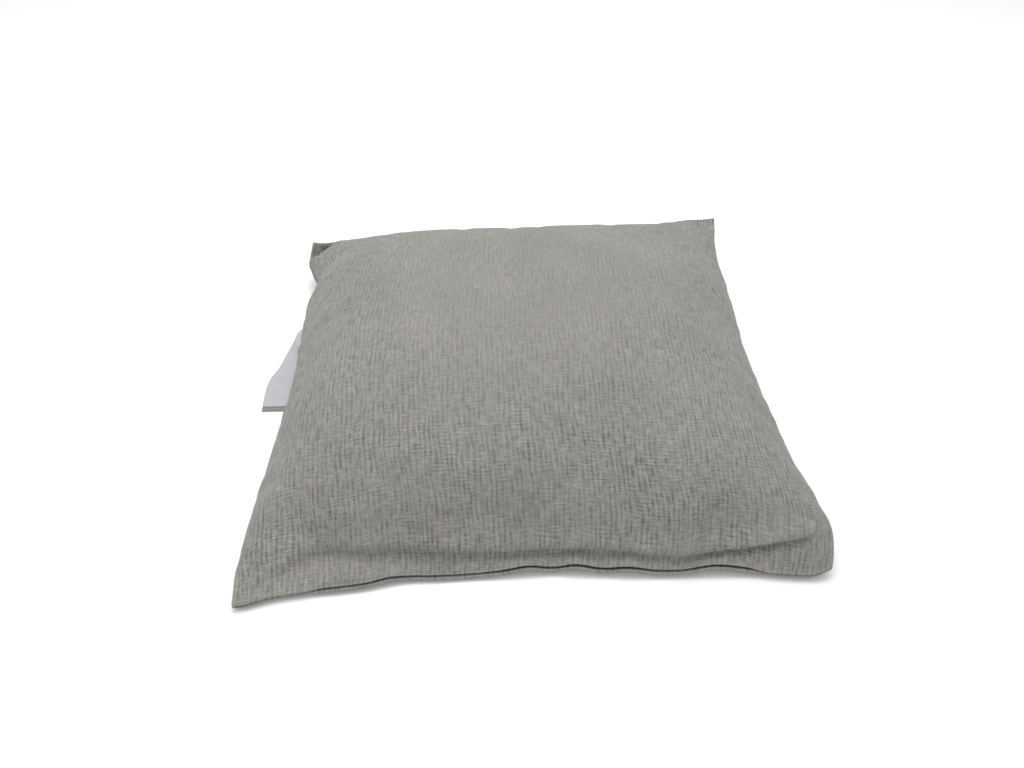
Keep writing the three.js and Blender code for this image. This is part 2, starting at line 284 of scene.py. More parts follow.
def wobble(f, phase):
    """A small uneven wave along a seam, nothing at its ends."""
    waves = sum(
        np.sin(2 * pi * (count * f + phase * (i + 1))) / (1 + 0.25 * i)
        for i, count in enumerate(WOBBLE_COUNTS)
    )
    return WOBBLE * waves * np.sin(pi * f) ** 0.5


def patch(lines):
    """A Coons patch over the four seams: points[row, column], row 0 at the front, column 0 at the left."""
    f = (lines + 1.0) / 2.0
    front, back = seam_line(FRONT_SEAM, 0, f), seam_line(BACK_SEAM, 0, f)
    left, right = seam_line(LEFT_SEAM, 1, f), seam_line(RIGHT_SEAM, 1, f)
    # each seam has its own waves, up and down and in and out
    for side, phase, share in ((back, 0.13, 0.35), (left, 0.37, 1.0), (right, 0.71, 1.0)):
        side[:, 2] += share * wobble(f, phase)
    for side, axis, phase in ((left, 0, 0.55), (right, 0, 0.29), (back, 1, 0.83)):
        side[:, axis] += wobble(f, phase)
    u, v = f[None, :, None], f[:, None, None]
    ruled = (1 - v) * front[None] + v * back[None] + (1 - u) * left[:, None] + u * right[:, None]
    corners = (1 - v) * ((1 - u) * front[0] + u * front[-1]) + v * ((1 - u) * back[0] + u * back[-1])
    return ruled - corners


def front_zone(seam, lines):
    """Distance behind the front lip, and the margin's depth, the valley's height and the face's root."""
    valley = through(FRONT_VALLEY, 0, np.clip(seam[0, :, 0], -HALF_SIDE, HALF_SIDE))
    distance = (1 + lines[:, None]) * -seam[0, :, 1][None]
    return distance, *(valley[None, :, k] for k in (1, 2, 3))


def top_surface(seam, lines):
    """The filled top, with a fourth column: how far behind the valley line each point is on the floor."""
    s, t = lines[None, :], lines[:, None]
    distance, depth, height, root = front_zone(seam, lines)
    length = -seam[0, :, 1][None]
    lip = seam[0, :, 2][None]
    own_height = np.maximum(np.abs(s) ** SIDE_POWER, smooth(0.0, LIP_REACH, distance))
    base = np.where(t < 0, lip + (seam[..., 2] - lip) * own_height, seam[..., 2])
    across = np.where(s < 0, rise(1 + s, *LEFT_PROFILE), rise(1 - s, *RIGHT_PROFILE))
    back_height = (CROWN - base) * rise(1 - t, *BACK_PROFILE)
    swell = MARGIN_SWELL + (1.0 - MARGIN_SWELL) * smooth(*CORNER_FOLD, seam[0, :, 0])[None]
    margin = (height - base) / np.maximum(across, LEAST_ACROSS) * np.clip(distance / depth, 0, 1) ** swell
    face = rise((distance - depth) / (length - depth), FACE_POWER, root)
    front_height = margin + (CROWN - base - margin) * face
    top = np.dstack([seam, distance - depth])
    top[..., 2] = base + np.where(t < 0, front_height, back_height) * across
    near_edge = np.minimum(1 - np.abs(s), 1 - np.abs(t)) * HALF_SIDE
    for x, y, height, half_length, half_width, turn in TOP_FEATURES:
        dx, dy = top[..., 0] - x, top[..., 1] - y
        c, n = cos(radians(turn)), sin(radians(turn))
        far = ((dx * c + dy * n) / half_length) ** 2 + ((dy * c - dx * n) / half_width) ** 2
        top[..., 2] += height * np.exp(-far) * smooth(0.0, FEATURE_FADE, near_edge)
    return top


def spread(grid, axis, shares, lines, evenness):
    """The grid with its lines along one axis spread evenly over the cloth; its border keeps its places."""
    grid = np.moveaxis(grid, axis, 0)
    run = run_along(grid[..., :3])
    run = run / run[-1] * evenness + shares[:, None] * (1.0 - evenness)
    run[:, 0] = run[:, -1] = shares
    stops = (lines + 1.0) / 2.0
    columns = [
        np.stack([np.interp(stops, run[:, c], grid[:, c, k]) for k in range(grid.shape[2])], axis=1)
        for c in range(grid.shape[1])
    ]
    return np.moveaxis(np.stack(columns, axis=1), 0, axis)


ACROSS_EVENNESS = 0.7   # in the middle rows; towards the front and back it would slant the ribs
FINE = 4                # the top is worked out on a grid this much finer, and then spread


def spread_top(lines):
    """The top on the grid, and how far over the cloth each point and each valley are from the front lip."""
    fine = grid_lines(CELLS * FINE)
    shares = (fine + 1.0) / 2.0
    top = top_surface(patch(fine), fine)
    top = spread(top, 0, shares, lines, 1.0)
    top = spread(top, 1, shares, lines, ACROSS_EVENNESS * (1.0 - np.abs(lines)))
    run = run_along(top[..., :3])
    valley = np.array([np.interp(0.0, top[:, c, 3], run[:, c]) for c in range(len(lines))])
    return top[..., :3].copy(), run, valley[None]


# The roll of the underside: its width where the seam lies on the floor, and what each millimetre of the
# seam's height adds to it.
ROLL_WIDTH = (6.0, 0.8)
ROLL_BULGE = 4.5        # how far the underside swells out past the seam
BULGE_HEIGHTS = (10.0, 28.0)    # the bulge comes in between these heights of the seam

# Under the zip's lip the cloth goes straight in and then down, which leaves a dark hollow.
UNDERCUT = 0.9          # share of the straight way in
UNDERCUT_ENDS = (300, 230)      # distance from the middle over which it comes in
UNDERCUT_HEIGHTS = (6.0, 12.0)  # and height of the lip
HOLLOW_WIDTH = (4.0, 0.45)      # as the roll's


def bottom_surface(seam, lines):
    """Flat on the floor, and rolling up and out to the seam."""
    s, t = lines[None, :], lines[:, None]
    edge = seam[..., 2]
    roll = ROLL_WIDTH[0] + ROLL_WIDTH[1] * edge
    qx = np.clip((1 - np.abs(s)) * HALF_SIDE / roll, 0, 1)
    qy = np.clip((1 - np.abs(t)) * HALF_SIDE / roll, 0, 1)
    level_x, level_y = (np.sqrt(np.clip(1 - (1 - q) ** 2, 0, 1)) for q in (qx, qy))
    front_x, front_z = np.abs(seam[0, :, 0]), seam[0, :, 2]
    undercut = UNDERCUT * (smooth(*UNDERCUT_ENDS, front_x) * smooth(*UNDERCUT_HEIGHTS, front_z))[None]
    hollow_width = HOLLOW_WIDTH[0] + HOLLOW_WIDTH[1] * edge
    hollow = smooth(0.0, 1.0, (1 - np.abs(t)) * HALF_SIDE / hollow_width)
    level_y = np.where(t < 0, level_y + (hollow - level_y) * undercut, level_y)
    level = level_x * level_y
    bottom = seam.copy()
    bottom[..., 2] = edge * (1.0 - level)
    swell = ROLL_BULGE * smooth(*BULGE_HEIGHTS, edge)
    bottom[..., 0] += np.sign(s) * swell * np.sin(pi * qx) * np.minimum(qy, 1)
    bottom[..., 1] += np.sign(t) * swell * np.sin(pi * qy) * np.minimum(qx, 1)
    return bottom


# ---- Meshes -----------------------------------------------------------------------------------------


def new_object(name, points, faces, material, uv=None):
    """A mesh object from points in millimetres. uv holds one cloth coordinate, in metres, per point."""
    mesh = bpy.data.meshes.new(name)
    mesh.from_pydata((np.asarray(points, float) * MM).tolist(), [], faces)
    mesh.validate()
    mesh.shade_smooth()
    mesh.materials.append(material)
    if uv is not None:
        layer = mesh.uv_layers.new(name="cloth")
        corner_points = np.empty(len(mesh.loops), dtype=np.int32)
        mesh.loops.foreach_get("vertex_index", corner_points)
        layer.data.foreach_set("uv", np.asarray(uv, float)[corner_points].ravel())
    thing = bpy.data.objects.new(name, mesh)
    bpy.context.scene.collection.objects.link(thing)
    return thing


def grid_faces(rows, columns, start=0, flip=False):
    """The faces over a grid of points that are numbered row by row from start."""
    faces = []
    for r in range(rows - 1):
        for c in range(columns - 1):
            a = start + r * columns + c
            face = (a, a + 1, a + columns + 1, a + columns)
            faces.append(face[::-1] if flip else face)
    return faces


def border(count):
    """Indices of a count by count grid's border, anticlockwise from above, starting at the front left."""
    front = list(range(count - 1))
    right = [r * count + count - 1 for r in range(count - 1)]
    back = [(count - 1) * count + c for c in range(count - 1, 0, -1)]
    left = [r * count for r in range(count - 1, 0, -1)]
    return front + right + back + left


def outward(loop):
    """Level unit vectors that point out of a closed loop of points."""
    ahead = np.roll(loop, -1, axis=0) - np.roll(loop, 1, axis=0)
    normal = np.stack([ahead[:, 1], -ahead[:, 0], 0 * ahead[:, 0]], axis=1)
    return normal / np.linalg.norm(normal, axis=1)[:, None]


def add_solidify(thing, thickness, offset):
    """Gives a surface its thickness in millimetres: inwards with an offset of -1, both ways with 0."""
    modifier = thing.modifiers.new("thickness", "SOLIDIFY")
    modifier.thickness = thickness * MM
    modifier.offset = offset
    modifier.use_even_offset = False


def add_subdivision(thing):
    modifier = thing.modifiers.new("smooth", "SUBSURF")
    modifier.levels = 1
    modifier.render_levels = 1
    modifier.boundary_smooth = "PRESERVE_CORNERS"


# ---- Materials --------------------------------------------------------------------------------------


def linear(levels):
    """A colour given as three display levels from 0 to 255, as the shader wants it."""
    c = np.array(levels) / 255.0
    return (*np.where(c <= 0.04045, c / 12.92, ((c + 0.055) / 1.055) ** 2.4), 1.0)


class Finish:
    """A node material around one Principled shader, with short calls for the nodes that drive it."""

    def __init__(self, name, **sockets):
        self.material = bpy.data.materials.new(name)
        self.material.use_nodes = True
        self.tree = self.material.node_tree
        self.shader = self.tree.nodes["Principled BSDF"]
        for key, value in sockets.items():
            self.set(key.replace("_", " "), value)

    def set(self, socket, value):
        if isinstance(value, bpy.types.NodeSocket):
            self.tree.links.new(value, self.shader.inputs[socket])
        else:
            self.shader.inputs[socket].default_value = value

    def node(self, kind, inputs=(), **settings):
        made = self.tree.nodes.new(kind)
        for key, value in settings.items():
            setattr(made, key, value)
        for key, value in dict(inputs).items():
            if isinstance(value, bpy.types.NodeSocket):
                self.tree.links.new(value, made.inputs[key])
            else:
                made.inputs[key].default_value = value
        return made

    def math(self, operation, a, b=0.0, clamp=False):
        return self.node("ShaderNodeMath", {0: a, 1: b}, operation=operation, use_clamp=clamp).outputs[0]

    def remap(self, value, low, high, to_low=0.0, to_high=1.0):
        return self.node(
            "ShaderNodeMapRange",
            {"Value": value, "From Min": low, "From Max": high, "To Min": to_low, "To Max": to_high},
        ).outputs[0]

    def vector(self, x, y):
        return self.node("ShaderNodeCombineXYZ", {0: x, 1: y}).outputs[0]

    def noise(self, place, detail=2.0, roughness=0.5):
        return self.node(
            "ShaderNodeTexNoise",
            {"Vector": place, "Scale": 1.0, "Detail": detail, "Roughness": roughness},
            noise_dimensions="2D",
        ).outputs[0]

    def mix(self, factor, dark, light):
        """A colour between two. The mix node's colour sockets are 6 and 7, and its colour output is 2."""
        made = self.node("ShaderNodeMix", {"Factor": factor}, data_type="RGBA")
        made.inputs[6].default_value = linear(dark)
        made.inputs[7].default_value = linear(light)
        return made.outputs[2]

    def bump(self, height, depth, under=None):
        inputs = {"Height": height, "Distance": depth * MM, "Strength": 1.0}
        if under is not None:
            inputs["Normal"] = under
        return self.node("ShaderNodeBump", inputs).outputs[0]

    def object_place(self, unit):
        """The object's own coordinates, in units of so many millimetres."""
        place = self.node("ShaderNodeTexCoord").outputs["Object"]
        for scale in (1000.0, 1.0 / unit):
            made = self.node("ShaderNodeVectorMath", {0: place, 1: (scale,) * 3}, operation="MULTIPLY")
            place = made.outputs[0]
        return place


class ClothFinish(Finish):
    """A finish laid out over a cloth's own coordinates in millimetres: u across it and v along it."""

    def __init__(self, name, **sockets):
        super().__init__(name, **sockets)
        uv = self.node("ShaderNodeUVMap", uv_map="cloth").outputs[0]
        parts = self.node("ShaderNodeSeparateXYZ", {0: uv})
        self.u, self.v = (self.math("MULTIPLY", parts.outputs[k], 1000.0) for k in (0, 1))

    def wave(self, place, pitch):
        return self.math("SINE", self.math("MULTIPLY", place, 2 * pi / pitch))

    def streaks(self, width, length, shift=0.0, detail=2.0, roughness=0.5):
        """Noise drawn out into streaks of a width and length in millimetres."""
        across = self.math("DIVIDE", self.math("ADD", self.u, shift), width)
        place = self.vector(across, self.math("DIVIDE", self.v, length))
        return self.noise(place, detail, roughness)

    def uneven(self, value, share):
        """How far a noise is above its mean, times a share."""
        return self.math("MULTIPLY", self.math("SUBTRACT", value, 0.5), share)


# The cover's cloth.
RIB_PITCH = 5.0
RIB_SWAY = 7.0          # how far the ribs wander sideways
WEFT_PITCH = 3.6
THREAD_PITCH = 1.3
GROOVE_DEPTH = 0.54     # of the grooves between the ribs, as a share of the relief
GROOVE_MEAN = 0.36
CONTRAST_MIDDLE = 70.0      # the relief and its painted groove shade are weakest around this place behind the cover's middle
CONTRAST_RADIUS = 230.0
RUBBED_FROM, RUBBED_TO = 293.0, 301.0   # distance from the middle over which the seams are rubbed paler
# The colour falls from the light end to this dark one as the relief falls. The dark end is painted shade
# between the threads and in the rib grooves; random grain and mottling shift the colour too.
CLOTH_DARK_AND_GROOVE_SHADE = (84, 83, 79)
CLOTH_LIGHT = (153, 150.5, 146)
CASING_THREAD = 0.8
LABEL_WEFT, LABEL_WARP = 0.5, 0.35


def cover_relief(f):
    """Uneven ribs run from front to back and are broken into dashes by the cross threads. In the colour, its
    low places are painted shade.
    """
    sway = f.uneven(f.streaks(38.0, 55.0), RIB_SWAY)
    ribs_at = f.math("ADD", f.u, sway)
    # narrow grooves between the ribs, which close here and there; the colour is painted darker in them, as
    # shade
    cord = f.remap(f.wave(ribs_at, RIB_PITCH), -1.0, 1.0, 1.0, 0.0)
    broken = f.remap(f.streaks(4.4, 12.0, 40.0), 0.34, 0.60, 0.2, 1.0)
    groove = f.math("MULTIPLY", f.math("POWER", cord, 1.2), broken)
    # long thick places in the ribs' yarn, and shorter ones in the cross threads'
    slubs = f.remap(f.streaks(2.7, 15.0, sway, detail=3.0), 0.34, 0.66, -1.0, 1.0)
    weft = f.remap(f.streaks(11.0, 1.9, 7.0), 0.36, 0.66, -1.0, 1.0)
    # cross cords, which stand out only in patches
    weft_patches = f.remap(f.streaks(24.0, 18.0, 90.0), 0.42, 0.60)
    weft_cord = f.math("MULTIPLY", f.wave(f.v, WEFT_PITCH), weft_patches)
    weave = f.math("MULTIPLY", f.wave(ribs_at, THREAD_PITCH), f.wave(f.v, THREAD_PITCH))
    relief = f.math("MULTIPLY", f.math("SUBTRACT", GROOVE_MEAN, groove), GROOVE_DEPTH)
    for part, share in ((slubs, 0.25), (weft, 0.24), (weft_cord, 0.13), (weave, 0.08)):
        relief = f.math("ADD", relief, f.math("MULTIPLY", part, share))
    return relief


def relief_and_shade_contrast(f):
    """How strong the relief and its painted groove shade are: weak over the crown and the back, strong at
    the front and the sides, standing in for the light that grazes the cloth there.
    """
    off_x = f.math("DIVIDE", f.u, CONTRAST_RADIUS)
    off_y = f.math("DIVIDE", f.math("SUBTRACT", f.v, CONTRAST_MIDDLE), CONTRAST_RADIUS)
    off = f.math("ADD", f.math("MULTIPLY", off_x, off_x), f.math("MULTIPLY", off_y, off_y))
    patchy = f.remap(f.streaks(120.0, 90.0), 0.35, 0.65, 0.85, 1.15)
    return f.math("MULTIPLY", f.remap(off, 0.1, 1.2, 0.5, 1.1), patchy)


def woven_cover():
    f = ClothFinish("woven_cover", Sheen_Weight=0.1, Sheen_Roughness=0.5, Specular_IOR_Level=0.2)
    # the relief gives the bump and, through the colour, painted shade; both are stronger at the front and
    # the sides
    level = f.remap(f.math("MULTIPLY", cover_relief(f), relief_and_shade_contrast(f)), -1.0, 1.0)
    grain = f.streaks(0.8, 0.8, roughness=0.7)
    cloud = f.streaks(70.0, 90.0, 11.0)
    # painted shade: the relief's low places darken the colour
    shade = f.math("POWER", level, 0.8, clamp=True)
    shade = f.math("ADD", shade, f.uneven(grain, 0.22))
    shade = f.math("ADD", shade, f.uneven(cloud, 0.22))
    edge = f.math("MAXIMUM", f.math("ABSOLUTE", f.u), f.math("ABSOLUTE", f.v))
    rubbed = f.math("MULTIPLY", f.remap(edge, RUBBED_FROM, RUBBED_TO, 0.0, 0.16), grain)
    shade = f.math("ADD", shade, rubbed, clamp=True)
    f.set("Base Color", f.mix(shade, CLOTH_DARK_AND_GROOVE_SHADE, CLOTH_LIGHT))
    f.set("Roughness", f.remap(level, 0.0, 1.0, 0.96, 0.82))
    fuzz = f.bump(grain, 0.08)
    f.set("Normal", f.bump(level, 0.8, fuzz))
    return f.material


def casing_cloth():
    f = ClothFinish("casing", Sheen_Weight=0.05, Specular_IOR_Level=0.25)
    threads = f.math("MULTIPLY", f.wave(f.u, CASING_THREAD), f.wave(f.v, CASING_THREAD))
    crumple = f.streaks(30.0, 30.0, detail=4.0)
    level = f.math("ADD", f.remap(threads, -1.0, 1.0, 0.0, 0.3), crumple)
    f.set("Base Color", f.mix(crumple, (214, 212, 206), (236, 234, 229)))
    f.set("Roughness", f.remap(crumple, 0.3, 0.7, 0.75, 0.9))
    f.set("Normal", f.bump(level, 0.3))
    return f.material


def label_cloth(name, dark, light):
    f = ClothFinish(name, Sheen_Weight=0.1, Specular_IOR_Level=0.4)
    weft, warp = f.wave(f.v, LABEL_WEFT), f.wave(f.u, LABEL_WARP)
    satin = f.remap(f.math("ADD", weft, f.math("MULTIPLY", warp, 0.4)), -1.4, 1.4)
    cloud = f.streaks(9.0, 14.0)
    shade = f.math("ADD", f.math("MULTIPLY", satin, 0.3), f.math("MULTIPLY", cloud, 0.7))
    f.set("Base Color", f.mix(shade, dark, light))
    f.set("Roughness", f.remap(cloud, 0.3, 0.7, 0.45, 0.62))
    f.set("Normal", f.bump(satin, 0.05))
    return f.material


UNEVEN_SHINE = 0.08


def solid_finish(name, dark, light, grain, depth, roughness):
    """A finish for small parts and the floor: mottled colour, roughness and bump at one grain size."""
    f = Finish(name)
    speck = f.node(
        "ShaderNodeTexNoise", {"Vector": f.object_place(grain), "Scale": 1.0, "Detail": 3.0}
    ).outputs[0]
    f.set("Base Color", f.mix(speck, dark, light))
    f.set("Roughness", f.remap(speck, 0.3, 0.7, roughness - UNEVEN_SHINE, roughness + UNEVEN_SHINE))
    f.set("Normal", f.bump(speck, depth))
    return f.material


# ---- Studio and finishes ----------------------------------------------------------------------------

FLOOR_HALF = 6000.0


def make_floor():
    finish = solid_finish("floor", (238,) * 3, (244,) * 3, grain=900.0, depth=0.0, roughness=0.9)
    corners = [(x * FLOOR_HALF, y * FLOOR_HALF, 0) for x, y in ((-1, -1), (1, -1), (1, 1), (-1, 1))]
    new_object("floor", corners, [(0, 1, 2, 3)], finish)


make_camera()
make_light()
make_floor()

LINEN = woven_cover()
CASING = casing_cloth()
THREAD = solid_finish("thread", (120, 116, 111), (160, 156, 150), grain=0.4, depth=0.1, roughness=0.7)
TAPE = solid_finish("zip_tape", (118, 115, 110), (142, 139, 133), grain=0.5, depth=0.15, roughness=0.85)
COIL = solid_finish("zip_coil", (116, 114, 109), (138, 136, 131), grain=1.0, depth=0.03, roughness=0.45)
METAL = solid_finish("zip_metal", (128, 126, 122), (150, 148, 144), grain=1.5, depth=0.03, roughness=0.4)
LABEL_WHITE = label_cloth("label_white", (164, 164, 168), (180, 180, 184))
# The back leaf is real, but its grey is painted shade: it stands for the shaded strip under the white leaf's
# end.
LABEL_SHADED_BACK = label_cloth("label_grey", (112, 113, 108), (134, 135, 130))

# ---- Grids of the whole cover -----------------------------------------------------------------------

lines = grid_lines()
COUNT = CELLS + 1
GRID_POINTS = COUNT * COUNT
RING = np.array(border(COUNT))
seam = patch(lines)


def flatten(grid):
    return grid.reshape(-1, 3)


def cloth_uv():
    """The flat cloth's coordinates in metres at each point of the grid."""
    s, t = np.meshgrid(lines, lines)
    return np.stack([s.ravel(), t.ravel()], axis=1) * HALF_SIDE * MM


def sewn_grids():
    """The points of an upper and a lower grid that are used once they share a border, and the faces."""
    joined = np.arange(2 * GRID_POINTS)
    joined[GRID_POINTS + RING] = RING
    used = np.unique(joined)
    place = np.full(2 * GRID_POINTS, -1)
    place[used] = np.arange(len(used))
    faces = grid_faces(COUNT, COUNT) + grid_faces(COUNT, COUNT, GRID_POINTS, True)
    return used, place[joined[np.array(faces)]].tolist()


# ---- Blowing up the cover ---------------------------------------------------------------------------

CLOTH_FRAMES = 20
CLOTH_SETTINGS = {
    "quality": 5,
    "mass": 0.3,
    "tension_stiffness": 15,
    "compression_stiffness": 15,
    "shear_stiffness": 4.5,
    "bending_stiffness": 0.5,
    "use_pressure": True,
    "uniform_pressure_force": 4.0,
    "shrink_min": -0.012,   # the cloth is this much larger than the shape it starts from
    "vertex_group_mass": "held",
}
TOP_MOVE = 12.0         # the most that a point may move: on the top,
MARGIN_MOVE = 1.6       # on the margin along the front,
BOTTOM_MOVE = 5.0       # and on the underside
MARGIN_HOLD = 0.7       # how firmly the margin is held
HOLD_FADE = (1.0, 0.75)     # share of the way to the valley over which the hold comes in
MOVE_FADE = (-2.0, 20.0)    # distance beyond the valley over which the top becomes free to move
ON_FLOOR = 0.6          # the underside is fixed where it is lower than this


def blown_up(points, faces, held):
    """The points after the cloth through them has been blown up. held is 1 where a point is fixed."""
    mesh = bpy.data.meshes.new("cloth")
    mesh.from_pydata((points * MM).tolist(), [], faces)
    thing = bpy.data.objects.new("cloth", mesh)
    bpy.context.scene.collection.objects.link(thing)
    group = thing.vertex_groups.new(name="held")
    for weight in np.unique(held[held > 0]):
        group.add(np.where(held == weight)[0].tolist(), float(weight), "REPLACE")
    modifier = thing.modifiers.new("cloth", "CLOTH")
    settings = modifier.settings
    for key, value in CLOTH_SETTINGS.items():
        setattr(settings, key, value)
    settings.effector_weights.gravity = 0
    modifier.collision_settings.use_collision = False
    modifier.point_cache.frame_start = 1
    modifier.point_cache.frame_end = CLOTH_FRAMES
    for step in range(1, CLOTH_FRAMES + 1):
        bpy.context.scene.frame_set(step)
    result = thing.evaluated_get(bpy.context.evaluated_depsgraph_get()).to_mesh()
    moved = np.empty(len(points) * 3, dtype=np.float32)
    result.vertices.foreach_get("co", moved)
    bpy.data.objects.remove(thing)
    bpy.context.scene.frame_set(1)
    return moved.reshape(-1, 3).astype(float) / MM


def blow_up_cover(top, bottom, run, valley):
    """Both panels, sewn along the ring, blown up together. The flat underside and the margin stay put."""
    points = np.vstack([flatten(top), flatten(bottom)])
    used, faces = sewn_grids()
    held = np.zeros(len(points))
    held[:GRID_POINTS] = np.round(smooth(*HOLD_FADE, run / valley).ravel(), 1) * MARGIN_HOLD
    held[GRID_POINTS:][flatten(bottom)[:, 2] < ON_FLOOR] = 1.0
    held[RING] = 1.0
    most = np.full(len(points), BOTTOM_MOVE)
    free = smooth(*MOVE_FADE, run - valley).ravel()
    most[:GRID_POINTS] = MARGIN_MOVE + (TOP_MOVE - MARGIN_MOVE) * free
    most = most[used]
    start = points[used]
    move = blown_up(start, faces, held[used]) - start
    far = np.linalg.norm(move, axis=1)
    points[used] += move * (most * np.tanh(far / most) / np.maximum(far, 1e-6))[:, None]
    points[GRID_POINTS + RING] = points[RING]
    swollen_top, swollen_bottom = (half.reshape(top.shape) for half in np.split(points, 2))
    swollen_bottom[..., 2] = np.maximum(swollen_bottom[..., 2], 0.0)
    return swollen_top, swollen_bottom


# The filled face hangs over the margin along the valley line, most of all in the front right corner, where
# it makes a crease: (x of the line, how far the face hangs out).
OVERHANG = [
    (-300, 0),
    (-225, 0.5),
    (-190, 2.0),
    (-130, 3.5),
    (0, 5.5),
    (160, 6.0),
    (205, 8.5),
    (245, 10.0),
    (270, 6.5),
    (285, 1.0),
    (304, 0),
]
OVERHANG_DROP = 0.25    # how far the hanging part sinks, as a share of that
CREASE_IN = 0.8         # how far the line itself goes in, as a share of that
CREASE_AT, CREASE_WIDTH = 1.0, 2.9      # the crease, over the cloth from the line
BULGE_AT, BULGE_WIDTH = 14.0, 8.0       # and the hanging part


def crease_front(top, beyond):
    """The top with its front face hung over the line. beyond is how far past it each point is."""
    front_x = np.clip(seam[0, :, 0], OVERHANG[0][0], OVERHANG[-1][0])
    out = through(OVERHANG, 0, front_x)[None, :, 1]
    above = np.exp(-(((beyond - BULGE_AT) / BULGE_WIDTH) ** 2))
    line = np.exp(-(((beyond - CREASE_AT) / CREASE_WIDTH) ** 2))
    top[..., 1] += out * (CREASE_IN * line - above)
    top[..., 2] -= OVERHANG_DROP * out * above
    return top


start_top, cloth_run, valley_run = spread_top(lines)
top, bottom = blow_up_cover(start_top, bottom_surface(seam, lines), cloth_run, valley_run)
top = crease_front(top, cloth_run - valley_run)

# ---- The cover's panels -----------------------------------------------------------------------------

LIP_RADIUS = 1.35
SEWN_GAP = 0.4          # between the two panels' lips, where the seam is sewn
ZIP_GAP = 1.3           # and along the zip
LOWER_LIP_AHEAD = 3.0   # along the zip the lower lip stands in front of the upper one
LIP_ANGLES = (60, 30, 0, -30, -60, -90)     # round the lip, from its crest to its inner side
LIP_FADE_LINES = 6      # grid lines over which the surface comes to the crest of the lip
HEM_STEPS = (3.0, 6.5, 10.0)    # how far in the hem's rings are where the seam is sewn
ZIP_HEM_STEPS = (0.3, 0.65, 1.0)    # and along the zip, as shares of the way to the tape's back edge
HEM_RUN = 3.3           # of cloth between two of those rings
HEM_DROP = 1.6          # times sooner than it reaches the tape's back edge, the hem lies on the tape
HEM_ROWS = 20           # rows of the grid that a hem lies under
HEM_INSET = 1.8         # between a hem and its own panel, along the zip
HEM_REACH = 4.0         # a hem clears the two panels within this distance:
OWN_CLEARANCE = 1.6     # from its own one
OTHER_CLEARANCE = 2.6   # and from the other one
TAPE_CLEARANCE = 0.05
TAPE_EDGE = 0.5         # from the hem's edge to the tape's
CLOTH_THICKNESS = 0.8
ZIP_MIDDLE = 2.0
ZIP_ENDS = (236, 216)   # distance from there over which the seam turns from sewn to open
FRONT_Y = -250.0        # the front seam is all in front of this

# the ring's points along the front, right, back and left, each from the left or from the front
last = COUNT - 1
SIDE_RINGS = (
    np.arange(COUNT),
    last + np.arange(COUNT),
    3 * last - np.arange(COUNT),
    (4 * last - np.arange(COUNT)) % (4 * last),
)
seam_loop = flatten(seam)[RING]
seam_out = outward(seam_loop)
# 1 along the zip's opening, fading to 0 where the seam is sewn
ring_zip = smooth(*ZIP_ENDS, np.abs(seam_loop[:, 0] - ZIP_MIDDLE)) * (seam_loop[:, 1] < FRONT_Y)

tape_low, tape_high = (np.array(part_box(f"zip_tape_{k}")) / MM for k in ("lower", "upper"))


def lip_shift(shift):
    """Spreads the ring's shift over the grid lines next to it."""
    near = np.clip(1 - np.arange(COUNT) / LIP_FADE_LINES, 0, 1)
    front, right, back, left = (shift[side] for side in SIDE_RINGS)
    rows = near[:, None, None] * front[None] + near[::-1, None, None] * back[None]
    columns = near[None, :, None] * left[:, None] + near[None, ::-1, None] * right[:, None]
    weight = (near + near[::-1])[:, None] + (near + near[::-1])[None, :]
    return (rows + columns) / np.maximum(weight, 1.0)[..., None]


def hem_height(surface, y, side):
    """Height of the hem at each ring point: on the zip's tape, but inside the panel."""
    grid_y, grid_z = surface[:HEM_ROWS, :, 1], surface[:HEM_ROWS, :, 2]
    columns = np.argmin(np.abs(surface[0, :, 0][None] - seam_loop[:, 0][:, None]), axis=1)
    onward = np.maximum.accumulate(grid_y, axis=0)
    inside = np.array([np.interp(v, onward[:, c], grid_z[:, c]) for v, c in zip(y, columns)])
    if side > 0:
        return np.minimum(tape_high[1, 2] + TAPE_CLEARANCE, inside - HEM_INSET)
    return np.maximum(tape_low[0, 2] - TAPE_CLEARANCE, inside + HEM_INSET)


def lip_centre(side):
    """The middle line of the rounded lip of the upper (1) or the lower (-1) panel."""
    half_gap = (SEWN_GAP + (ZIP_GAP - SEWN_GAP) * ring_zip) / 2.0
    behind = LOWER_LIP_AHEAD if side > 0 else 0.0
    centre = seam_loop - seam_out * (LIP_RADIUS + behind * ring_zip)[:, None]
    centre[:, 2] += side * (half_gap + LIP_RADIUS)
    return centre


def lipped(surface, side):
    """The panel's surface, brought to the crest of its lip all round."""
    crest = lip_centre(side)
    crest[:, 2] += side * LIP_RADIUS
    body = surface + lip_shift(crest - seam_loop)
    body[..., 2] = np.maximum(body[..., 2], 0.0)
    return body


bodies = {1: lipped(top, 1), -1: lipped(bottom, -1)}


def inside_cover(ring, side):
    """The hem's ring, kept between the two panels where they fall away from a corner."""
    ring = ring.copy()
    upper, lower = flatten(bodies[1]), flatten(bodies[-1])
    over, under = (OTHER_CLEARANCE, OWN_CLEARANCE) if side > 0 else (OWN_CLEARANCE, OTHER_CLEARANCE)
    for k, (x, y, z) in enumerate(ring):
        above = upper[np.hypot(upper[:, 0] - x, upper[:, 1] - y) < HEM_REACH, 2]
        below = lower[np.hypot(lower[:, 0] - x, lower[:, 1] - y) < HEM_REACH, 2]
        if len(below):
            z = max(z, below.max() + over)
        if len(above):
            z = min(z, above.min() - under)
        ring[k, 2] = z
    return ring


